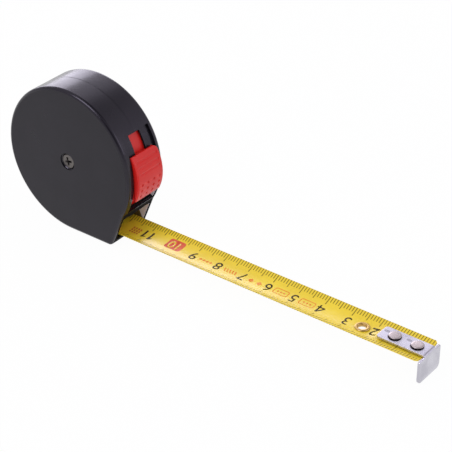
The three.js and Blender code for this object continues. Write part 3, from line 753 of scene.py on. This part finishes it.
# The scale is painted from the UV map: a line each millimetre, longer at fives and tens, in from both edges.
scale_group, scale_in, scale_out = effect("scale_lines", {"Map": "Vector"}, {"Ink": "Float"})
map_axes = node(scale_group, "ShaderNodeSeparateXYZ", {"Vector": scale_in.outputs["Map"]}).outputs
across = math(scale_group, "ABSOLUTE", map_axes["Y"])
from_edge = math(scale_group, "SUBTRACT", blade_half / mm, across)


def lines(step, reach, width):
    """Lines every step millimetres, that reach in from the edge."""
    near = math(scale_group, "PINGPONG", map_axes["X"], step / 2)
    on_line = ramp(scale_group, near, width / 2 - 0.03, width / 2 + 0.03, 1, 0)
    within_reach = ramp(scale_group, from_edge, reach - 0.04, reach + 0.04, 1, 0)
    return math(scale_group, "MULTIPLY", on_line, within_reach)


ink = math(scale_group, "MAXIMUM", math(scale_group, "MAXIMUM", lines(1, 1.9, 0.29), lines(5, 2.8, 0.31)),
           lines(10, 3.2, 0.33))
# The ink is thinned to 0.85 on the near side of the middle, as painted highlight there.
ink = math(scale_group, "MULTIPLY", ink, ramp(scale_group, map_axes["Y"], -1, 1, 0.85, 1))
printed_side = ramp(scale_group, across, 20, 21, 1, 0)
wire(scale_group, scale_out, {"Ink": math(scale_group, "MULTIPLY", ink, printed_side)})


def lacquered(name, scale):
    """Yellow lacquer over steel, faintly mottled, under a clear coat, with the scale where it is printed."""
    made, tree, shader, place = new_material(name)
    skin = surface(tree, place, 1600, 130)
    tone = blend_colour(tree, ramp(tree, skin["Tone"], 0.3, 0.7), (0.82, 0.60, 0.031, 1),
                        (0.88, 0.66, 0.037, 1))
    coat = 0.45
    if scale:
        print_map = node(tree, "ShaderNodeUVMap", uv_map="print").outputs[0]
        printed = node(tree, "ShaderNodeGroup", {"Map": print_map}, node_tree=scale_group).outputs["Ink"]
        thin = math(tree, "MULTIPLY", printed, ramp(tree, skin["Tone"], 0.2, 0.6, 0.66, 0.82))
        tone = blend_colour(tree, thin, tone, (0.045, 0.033, 0.004, 1))
        coat = ramp(tree, thin, 0, 1, coat, 0.04)
    wire(tree, shader, {
        "Base Color": tone,
        "Roughness": ramp(tree, skin["Tone"], 0.3, 0.7, 0.36, 0.28),
        "Specular IOR Level": 0.2,
        "Coat Weight": coat,
        "Coat Roughness": 0.25,
        "Normal": bump(tree, skin["Height"], 0.0008 * mm)})
    return made


scaled_lacquer = lacquered("scaled_lacquer", True)
for piece in (stretch, tip):
    paint(piece, scaled_lacquer)
paint(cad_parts["blade_coil"], lacquered("yellow_lacquer", False))


def flattens(piece):
    """Gives the piece its own copy of its mesh."""
    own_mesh(piece)


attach(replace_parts(stretch, "blade_stretch"), "case")
flattens(stretch)
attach(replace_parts(tip, "blade_tip"), "blade")

# ---- Printed figures ----
# Thin ink on the lacquer: a plain black figure at each centimetre, upside down to someone who holds the
# case, a red panel with the figure left yellow at ten, and small orange marks between the figures.

black_ink = moulded("black_ink", (0.034, 0.025, 0.009, 1), (0.050, 0.038, 0.012, 1),
                    (0.07, 0.05, 0.02, 1), 0.42, grain=1600, depth=0.002 * mm, reflects=0.12)
red_ink = moulded("red_ink", (0.66, 0.066, 0.020, 1), (0.61, 0.056, 0.017, 1),
                  (0.8, 0.2, 0.1, 1), 0.38, grain=1600, depth=0.002 * mm, reflects=0.2)
orange_ink = moulded("orange_ink", (0.82, 0.24, 0.024, 1), (0.78, 0.21, 0.020, 1),
                     (0.84, 0.4, 0.1, 1), 0.38, grain=1600, depth=0.002 * mm, reflects=0.12)
# A darker copy of the orange ink, as painted shade for the hatched block by the case, which lies in its
# shadow.
shaded_orange_ink = moulded("orange_ink_painted_shade", (0.50, 0.10, 0.006, 1), (0.44, 0.08, 0.005, 1),
                    (0.6, 0.2, 0.04, 1), 0.42, grain=1600, depth=0.002 * mm, reflects=0.08)
ink_thickness = 0.015 * mm
ink_lift = 0.004 * mm
above_blade = edge_z + mm
figure_y = 0.15 * mm
cut_step = 0.4 * mm


def lay_on(print_piece, blade_piece, lift=ink_lift):
    """Cuts flat print across the blade, lets it down on to the hollow surface and gives it its thickness."""
    edit(print_piece)
    pick_all()
    bpy.ops.mesh.remove_doubles(threshold=0.002 * mm)
    bpy.ops.mesh.delete_loose()
    for cut in range(-12, 13):
        pick_all()
        bpy.ops.mesh.bisect(plane_co=(0, cut * cut_step, 0), plane_no=(0, 1, 0))
    done()
    modify(print_piece, "SHRINKWRAP", target=blade_piece, wrap_method="PROJECT", use_project_z=True,
           use_negative_direction=True, use_positive_direction=False, offset=lift)
    edit(print_piece)
    pick_all()
    bpy.ops.mesh.remove_doubles(threshold=0.0005 * mm)
    face_up(print_piece)
    done()
    modify(print_piece, "SOLIDIFY", thickness=ink_thickness, offset=1)


def figure(text, x, y=figure_y, height=4.2 * mm, narrow=0.97):
    """One printed number as a flat mesh just above the blade, its top towards the near edge."""
    height_in_font = 0.72
    bpy.ops.object.select_all(action="DESELECT")
    bpy.ops.object.text_add(location=(x, y, above_blade), rotation=(0, 0, pi))
    label = bpy.context.active_object
    label.name = "figure_" + text
    label.data.body = text
    label.data.size = height / height_in_font
    label.data.align_x, label.data.align_y = "CENTER", "CENTER"
    label.data.offset = 0.02 * mm
    label.data.space_character = 0.95
    bpy.ops.object.convert(target="MESH")
    label = bpy.context.active_object
    label.scale.x = narrow
    bpy.ops.object.transform_apply(location=True, rotation=True, scale=True)
    return label


def on_print(corners, x, y):
    """Points above the blade, from millimetres to the right and up as the figures are read."""
    return [Vector((x - right * mm, y - up * mm, above_blade)) for right, up in corners]


def one(x, y):
    """A plain figure 1 without a foot: a stroke with a long flag, drawn from its corners."""
    corners = [(0.36, -2.1), (0.36, 2.1), (-0.1, 2.1), (-1.1, 1.3), (-1.1, 0.65), (-0.36, 1.15),
               (-0.36, -2.1)]
    stroke = closed_line("one", on_print(corners, x, y), "NGON")
    pick_all()
    bpy.ops.mesh.quads_convert_to_tris()
    done()
    return stroke


def join(pieces, name):
    bpy.ops.object.select_all(action="DESELECT")
    for piece in pieces:
        piece.select_set(True)
    bpy.context.view_layer.objects.active = pieces[0]
    if len(pieces) > 1:
        bpy.ops.object.join()
    pieces[0].name = pieces[0].data.name = name
    return pieces[0]


def four(x):
    """A plain figure 4: its outline and the three-cornered hole in it, filled between."""
    outer = [(0.34, -2.0), (0.92, -2.0), (0.92, -1.15), (1.4, -1.15), (1.4, -0.62), (0.92, -0.62),
             (0.92, 2.0), (0.28, 2.0), (-1.4, -0.66), (-1.4, -1.15), (0.34, -1.15)]
    counter = [(0.34, -0.62), (0.34, 1.05), (-0.72, -0.62)]
    both = []
    for corners in (outer, counter):
        both.append(closed_line("four", on_print(corners, x, figure_y)))
        done()
    drawn = join(both, "four")
    edit(drawn)
    pick_all()
    bpy.ops.mesh.fill()
    done()
    return drawn


def at_cm(number):
    return scale_zero - number * 10 * mm


eleven = [one(at_cm(11) + side * 1.35 * mm, 0.5 * mm) for side in (-1, 1)]
others = [figure(str(n), at_cm(n)) for n in (3, 5, 6, 7, 8, 9)]
long_figures = join(others + [four(at_cm(4))] + eleven, "scale_figures")
tip_figure = join([figure("2", at_cm(2) + 0.1 * mm, narrow=1.05)], "tip_figure")
for piece, blade_piece, body in ((long_figures, stretch, "case"), (tip_figure, tip, "blade")):
    lay_on(piece, blade_piece)
    paint(piece, black_ink)
    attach(piece, body)
flattens(long_figures)


def rounded_plate(name, x, y, length, width, corner, segments):
    """A flat rectangle above the blade with rounded corners, left in edit mode."""
    plate = start(bpy.ops.mesh.primitive_plane_add, name, size=1, location=(x, y, above_blade),
                  scale=(length, width, 1))
    edit(plate)
    pick_all()
    bevel(corner, segments, "VERTICES")
    return plate


panel_x = at_cm(10) + 1.3 * mm
panel_y = 1.1 * mm
panel = rounded_plate("ten_panel", panel_x, panel_y, 6.4 * mm, 5.0 * mm, 0.9 * mm, 6)
done()
lay_on(panel, stretch)
paint(panel, red_ink)
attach(panel, "case")
flattens(panel)
ten = join([figure("10", panel_x, panel_y, 3.8 * mm)], "ten_figure")
lay_on(ten, stretch, ink_lift + ink_thickness)
paint(ten, lacquered("figure_yellow", False))
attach(ten, "case")
flattens(ten)


def diamond(x, y, size):
    return start(bpy.ops.mesh.primitive_circle_add, "diamond", vertices=4, radius=size / 2, fill_type="NGON",
                 location=(x, y, above_blade))


def bar(x, y, length, width):
    """A short slanted stroke of a hatched block."""
    return start(bpy.ops.mesh.primitive_plane_add, "bar", size=1, location=(x, y, above_blade),
                 rotation=(0, 0, radians(20)), scale=(width, length, 1))


def frame_mark(x, y, length, width):
    """An empty rounded frame."""
    mark = rounded_plate("frame_mark", x, y, length, width, 0.7 * mm, 4)
    pick_all()
    bpy.ops.mesh.inset(thickness=0.28 * mm, depth=0)
    bpy.ops.mesh.delete(type="FACE")
    done()
    return mark


marks = []
mark_y = 0.3 * mm
for middle, length in ((5.5, 5.4 * mm), (4.5, 5.6 * mm)):
    marks.append(frame_mark(at_cm(middle), mark_y, length, 3.0 * mm))
    marks += [diamond(at_cm(middle) + step * 1.2 * mm, mark_y, 0.9 * mm) for step in (-1, 0, 1)]
marks += [diamond(at_cm(8.5) + step * 1.35 * mm, 0.0, 1.25 * mm) for step in (-1.5, -0.5, 0.5, 1.5)]
marks += [bar(at_cm(7.5) + step * 1.05 * mm, 0.0, 1.9 * mm, 0.4 * mm) for step in (-2, -1, 0, 1, 2)]
marks += [diamond(at_cm(6.5) + step * 1.6 * mm, 0.0, 2.1 * mm) for step in (-1, 1)]
marks += [bar(at_cm(11.5) + step * mm, mark_y + row * 1.2 * mm, 1.0 * mm, 0.6 * mm)
          for step in (-1.5, -0.5, 0.5, 1.5) for row in (-1, 0, 1)]
marks = join(marks, "orange_marks")
lay_on(marks, stretch)
paint(marks, orange_ink)
# The hatched block by the case takes the copy with painted shade.
partly(marks, shaded_orange_ink, lambda p: p.x < at_cm(11))
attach(marks, "case")
flattens(marks)

# ---- Eyelet ----
# A rolled brass eyelet through the blade, for a nail or a hook: its flange lies on the upper side, and its
# barrel is spread over a plain washer below.

eyelet_low, eyelet_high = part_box("eyelet")
hole = 1.4 * mm
barrel = 1.7 * mm
flange = 2.45 * mm
flange_bottom = eyelet_high.z - 0.3 * mm
eyelet = turned("rolled_eyelet", [
    (hole, eyelet_low.z + 0.03 * mm), (hole + 0.1 * mm, eyelet_low.z), (2.0 * mm, eyelet_low.z),
    (2.0 * mm, eyelet_low.z + 0.15 * mm), (barrel, eyelet_low.z + 0.15 * mm), (barrel, flange_bottom),
    (flange - 0.05 * mm, flange_bottom), (flange, flange_bottom + 0.06 * mm),
    (flange - 0.04 * mm, flange_bottom + 0.15 * mm), (flange - 0.22 * mm, eyelet_high.z - 0.05 * mm),
    (flange - 0.5 * mm, eyelet_high.z), (hole + 0.32 * mm, eyelet_high.z - 0.02 * mm),
    (hole + 0.12 * mm, eyelet_high.z - 0.1 * mm), (hole, eyelet_high.z - 0.28 * mm)],
    Vector((eyelet_centre.x, eyelet_centre.y, 0)), 72, upright=True)
smooth(eyelet, 40)
paint(eyelet, brass)
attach(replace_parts(eyelet, "eyelet"), "blade")

# ---- End hook and its rivets ----
# Zinc-plated sheet steel 0.8 mm thick: a narrow plate on the blade, bent down into a tab nearly as wide as
# the blade. Two flat-headed steel rivets hold it through slots longer than they are, so that it floats by
# its own thickness.

sheet_thickness = 0.8 * mm
bend = sheet_thickness + 0.1 * mm
plate_half = 3.15 * mm
tab_half = hook_high.y
plate_bottom = hook_high.z - sheet_thickness
bend_start = hook_high.x - bend
hook = box("hook_sheet", hook_low.x, bend_start, -plate_half, plate_half, plate_bottom, hook_high.z)
edit(hook)
pick(hook, lambda p: p.x > bend_start - slack, "FACE")
bpy.ops.mesh.spin(steps=8, angle=-pi / 2, center=(bend_start, 0, hook_high.z - bend), axis=(0, 1, 0))
push(z=hook_low.z - (hook_high.z - bend))
for side in (-1, 1):
    pick(hook, lambda p: abs(p.y - side * plate_half) < slack and p.z < hook_high.z - bend + slack, "FACE")
    push(y=side * (tab_half - plate_half))
done()
tidy(hook)


def round_corners(piece, test, radius, segments=8):
    """Rounds the edges along the sheet's thickness whose two ends pass the test."""
    edit(piece)
    pick(piece, test, "EDGE")
    bevel(radius, segments)
    done()


wide = tab_half - slack
for side in (-1, 1):
    round_corners(hook, lambda p: side * p.y > wide and p.z < hook_low.z + slack, 1.6 * mm)
    round_corners(hook, lambda p: side * p.y > wide and p.z > hook_high.z - bend - slack, 0.6 * mm, 4)
    round_corners(hook, lambda p: abs(p.y - side * plate_half) < slack and p.x < hook_low.x + slack,
                  1.0 * mm, 6)
for rivet in rivets:
    slot = pin("slot", rivet_radius + 0.3 * mm, 4 * mm, (rivet.x, 0, plate_bottom))
    edit(slot)
    pick(slot, lambda p: p.x < rivet.x - 0.001 * mm)
    move(x=-sheet_thickness)
    done()
    combine(hook, slot)
soften(hook, 0.13 * mm, 3)
smooth(hook)


def by_rivets(tree, place, shift, scale, inner, outer, strength):
    """A mask at each rivet, moved by shift and measured in scale: full within inner and gone past outer."""
    masks = []
    for rivet in rivets:
        off = node(tree, "ShaderNodeVectorMath", {0: place, 1: (rivet.x + shift[0], shift[1], 0)},
                   operation="SUBTRACT")
        flat = node(tree, "ShaderNodeVectorMath", {0: off.outputs[0], 1: (*scale, 0)}, operation="MULTIPLY")
        reach = node(tree, "ShaderNodeVectorMath", {0: flat.outputs[0]}, operation="LENGTH")
        masks.append(ramp(tree, reach.outputs["Value"], inner, outer, strength, 0))
    return math(tree, "MAXIMUM", *masks)


def rubbed(tree, place):
    """A dull oval of painted shadow behind each rivet, where the head's shadow falls."""
    return by_rivets(tree, place, (-3.35 * mm, 0.9 * mm), (1 / (1.2 * mm), 1 / (0.7 * mm)), 0.6, 1.15, 0.6)


def round_heads(tree, place):
    """Painted shade in the corner between the plate and each head, thicker on the near side."""
    return by_rivets(tree, place, (0, -0.3 * mm), (1, 1), 2.0 * mm, 2.3 * mm, 0.95)


hook_steel = metal("hook_steel", (0.60, 0.59, 0.65, 1), (0.50, 0.49, 0.55, 1), 0.27)
# Painted shadows of the rivet heads on the plate.
overlay(hook_steel, rubbed, (0.20, 0.19, 0.21, 1))
# Painted shade round the foot of each rivet head.
paint(hook, overlay(hook_steel, round_heads, (0.05, 0.035, 0.04, 1)))
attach(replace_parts(hook, "end_hook"), "hook")

rivet_low, rivet_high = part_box("hook_rivet_1")
head_radius = rivet_radius + 1.05 * mm
under_head = rivet_high.z - 0.5 * mm
tail_top = rivet_low.z + 0.5 * mm
first_rivet = turned("rivet_1", [
    (0, rivet_low.z), (1.25 * mm, rivet_low.z), (1.5 * mm, rivet_low.z + 0.06 * mm),
    (1.6 * mm, rivet_low.z + 0.2 * mm), (1.6 * mm, tail_top), (rivet_radius, tail_top),
    (rivet_radius, under_head), (head_radius - 0.1 * mm, under_head),
    (head_radius, under_head + 0.08 * mm), (head_radius, under_head + 0.24 * mm),
    (head_radius - 0.08 * mm, under_head + 0.38 * mm), (head_radius - 0.3 * mm, rivet_high.z - 0.03 * mm),
    (head_radius - 0.6 * mm, rivet_high.z), (0, rivet_high.z)],
    Vector((rivets[0].x, rivets[0].y, 0)), upright=True)
smooth(first_rivet, 40)
only(first_rivet)
bpy.ops.object.duplicate()
second_rivet = bpy.context.active_object
second_rivet.name = second_rivet.data.name = "rivet_2"
second_rivet.location.x = rivets[1].x - rivets[0].x
bpy.ops.object.transform_apply(location=True)


def under_rim(tree, place):
    """Painted shade round the side of the head."""
    height = node(tree, "ShaderNodeSeparateXYZ", {"Vector": place}).outputs["Z"]
    return ramp(tree, height, rivet_high.z - 0.24 * mm, rivet_high.z - 0.1 * mm, 1, 0)


rivet_steel = metal("rivet_steel", (0.62, 0.55, 0.53, 1), (0.53, 0.47, 0.45, 1), 0.40)
# Painted shade on the side of each rivet head.
overlay(rivet_steel, under_rim, (0.05, 0.035, 0.04, 1))
for number, piece in enumerate((first_rivet, second_rivet), 1):
    paint(piece, rivet_steel)
    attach(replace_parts(piece, f"hook_rivet_{number}"), "blade")

# ---- Studio ----
# A white floor that the case's round rim and the hook's tab just touch, four soft boxes, a white room that
# is darker behind the camera and overhead, and the camera.

tab_foot = Vector((hook_high.x, 0, hook_low.z))
to_axis = reel_axis - tab_foot
tilt = acos(case_radius / hypot(to_axis.x, to_axis.z)) + atan2(to_axis.z, -to_axis.x) - pi / 2
floor = start(bpy.ops.mesh.primitive_plane_add, "floor", size=8, location=tab_foot, rotation=(0, tilt, 0))
white = bpy.data.materials.new("white_floor")
white.use_nodes = True
floor_tree = white.node_tree
floor_tree.nodes.clear()
rays = node(floor_tree, "ShaderNodeLightPath").outputs
seen = math(floor_tree, "MAXIMUM", math(floor_tree, "MAXIMUM", rays["Is Camera Ray"], rays["Is Glossy Ray"]),
            rays["Is Transmission Ray"])
white_share = math(floor_tree, "MULTIPLY", seen, 0.97)
lit = node(floor_tree, "ShaderNodeBsdfDiffuse", {"Color": (0.86, 0.86, 0.87, 1)}).outputs[0]
plain = node(floor_tree, "ShaderNodeEmission", {"Color": (1, 1, 1, 1), "Strength": 1.0}).outputs[0]
mixed = node(floor_tree, "ShaderNodeMixShader", {"Fac": white_share, 1: lit, 2: plain}).outputs[0]
node(floor_tree, "ShaderNodeOutputMaterial", {"Surface": mixed})
floor.data.materials.append(white)


def soft_box(name, direction, distance, width, height, brightness):
    """A square lamp that way from the case, turned to it, as bright as that when it is seen reflected."""
    aim = Vector((0.02, 0, 0.02))
    place = aim + Vector(direction).normalized() * distance
    bpy.ops.object.light_add(type="AREA", location=place)
    lamp = bpy.context.active_object
    lamp.name = name
    lamp.data.shape = "RECTANGLE"
    lamp.data.size, lamp.data.size_y = width, height
    lamp.data.energy = brightness * pi * width * height
    lamp.data.color = (0.90, 0.87, 1.0)
    lamp.rotation_euler = (aim - place).to_track_quat("-Z", "Y").to_euler()


soft_box("back_box", (-0.73, 0.64, 0.22), 1.0, 0.78, 0.50, 3.1)
soft_box("upper_box", (-0.46, 0.66, 0.60), 1.0, 0.60, 0.45, 0.6)
soft_box("top_box", (-0.17, -0.62, 0.77), 0.9, 0.45, 0.35, 5.0)
soft_box("side_box", (0.84, 0.36, 0.40), 0.9, 0.45, 0.45, 1.8)

world = bpy.data.worlds.new("studio")
bpy.context.scene.world = world
world.use_nodes = True
room_tree = world.node_tree
rays = node(room_tree, "ShaderNodeLightPath").outputs
direct = math(room_tree, "MAXIMUM", rays["Is Camera Ray"], rays["Is Transmission Ray"])
direction = node(room_tree, "ShaderNodeTexCoord").outputs["Generated"]
mirrored_room, lighting_room = 0.74, 0.70
for dark_way in ((0.515, -0.672, 0.532), (0.17, 0.26, 0.95)):
    facing = node(room_tree, "ShaderNodeVectorMath", {0: direction, 1: dark_way}, operation="DOT_PRODUCT")
    mirrored_room = math(room_tree, "MULTIPLY", mirrored_room,
                         ramp(room_tree, facing.outputs["Value"], 0.86, 0.97, 1.0, 0.2))
glossy = math(room_tree, "MULTIPLY", rays["Is Glossy Ray"], mirrored_room)
diffuse = math(room_tree, "SUBTRACT", 1.0, math(room_tree, "MAXIMUM", rays["Is Glossy Ray"], direct))
wire(room_tree, room_tree.nodes["Background"], {
    "Color": blend_colour(room_tree, rays["Is Glossy Ray"], (1, 1, 1, 1), (0.94, 0.90, 1, 1)),
    "Strength": math(room_tree, "ADD", math(room_tree, "ADD", direct, glossy),
                     math(room_tree, "MULTIPLY", diffuse, lighting_room))})
bpy.context.scene.view_settings.view_transform = "Standard"

bpy.ops.object.camera_add(location=reel_axis + Vector((320.8, -341.5, 263.5)) * mm,
                          rotation=(radians(90 - 32.14), 0, radians(37.45)))
camera = bpy.context.active_object
camera.name = "camera"
camera.data.lens = 127.6
camera.data.sensor_width = 36
bpy.context.scene.camera = camera
